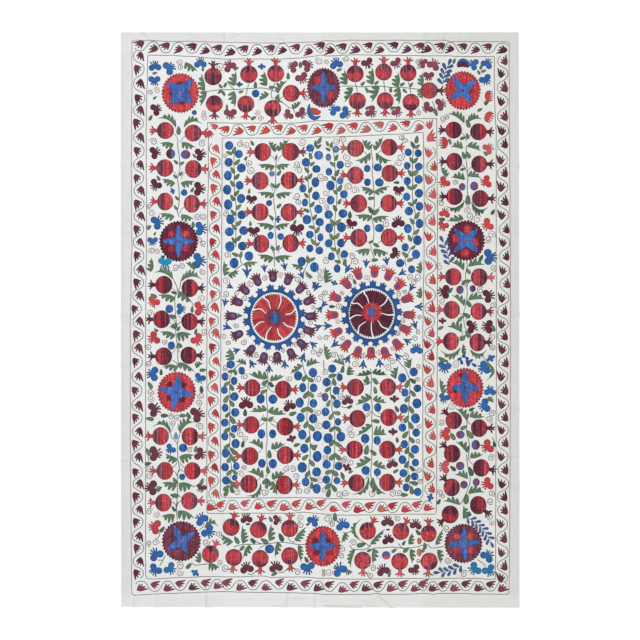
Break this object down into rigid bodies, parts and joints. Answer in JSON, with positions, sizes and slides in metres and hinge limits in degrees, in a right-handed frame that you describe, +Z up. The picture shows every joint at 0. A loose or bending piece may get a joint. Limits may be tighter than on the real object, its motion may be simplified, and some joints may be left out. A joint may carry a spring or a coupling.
{
  "type": "suzani embroidered textile",
  "caption": "Rectangular bedcover of long narrow cotton panels sewn edge to edge and laid flat, with low creases and turned hems.",
  "frame": {"origin": "on the surface that the cloth lies on, under the middle of its outline", "axes": "+X across the panels, +Y along the panels towards the cloth's top end, +Z up from the surface, out of the embroidered face"},
  "size_m": [1.5938, 2.3001, 0.0058],
  "materials": {
    "cotton_ground": "matt plain-weave undyed cotton",
    "thread_red": "soft sheen, laid silk stitches in bright red",
    "thread_maroon": "soft sheen, laid silk stitches in deep wine red",
    "thread_blue": "soft sheen, laid silk stitches in indigo",
    "thread_green": "soft sheen, stitches in dark green",
    "thread_pink": "chain stitch in faded madder pink"
  },
  "bodies": {
    "root": {"panel_left": "cotton_ground", "panel_centre_left": "cotton_ground", "panel_centre_right": "cotton_ground", "panel_right": "cotton_ground"}
  },
  "joints": []
}
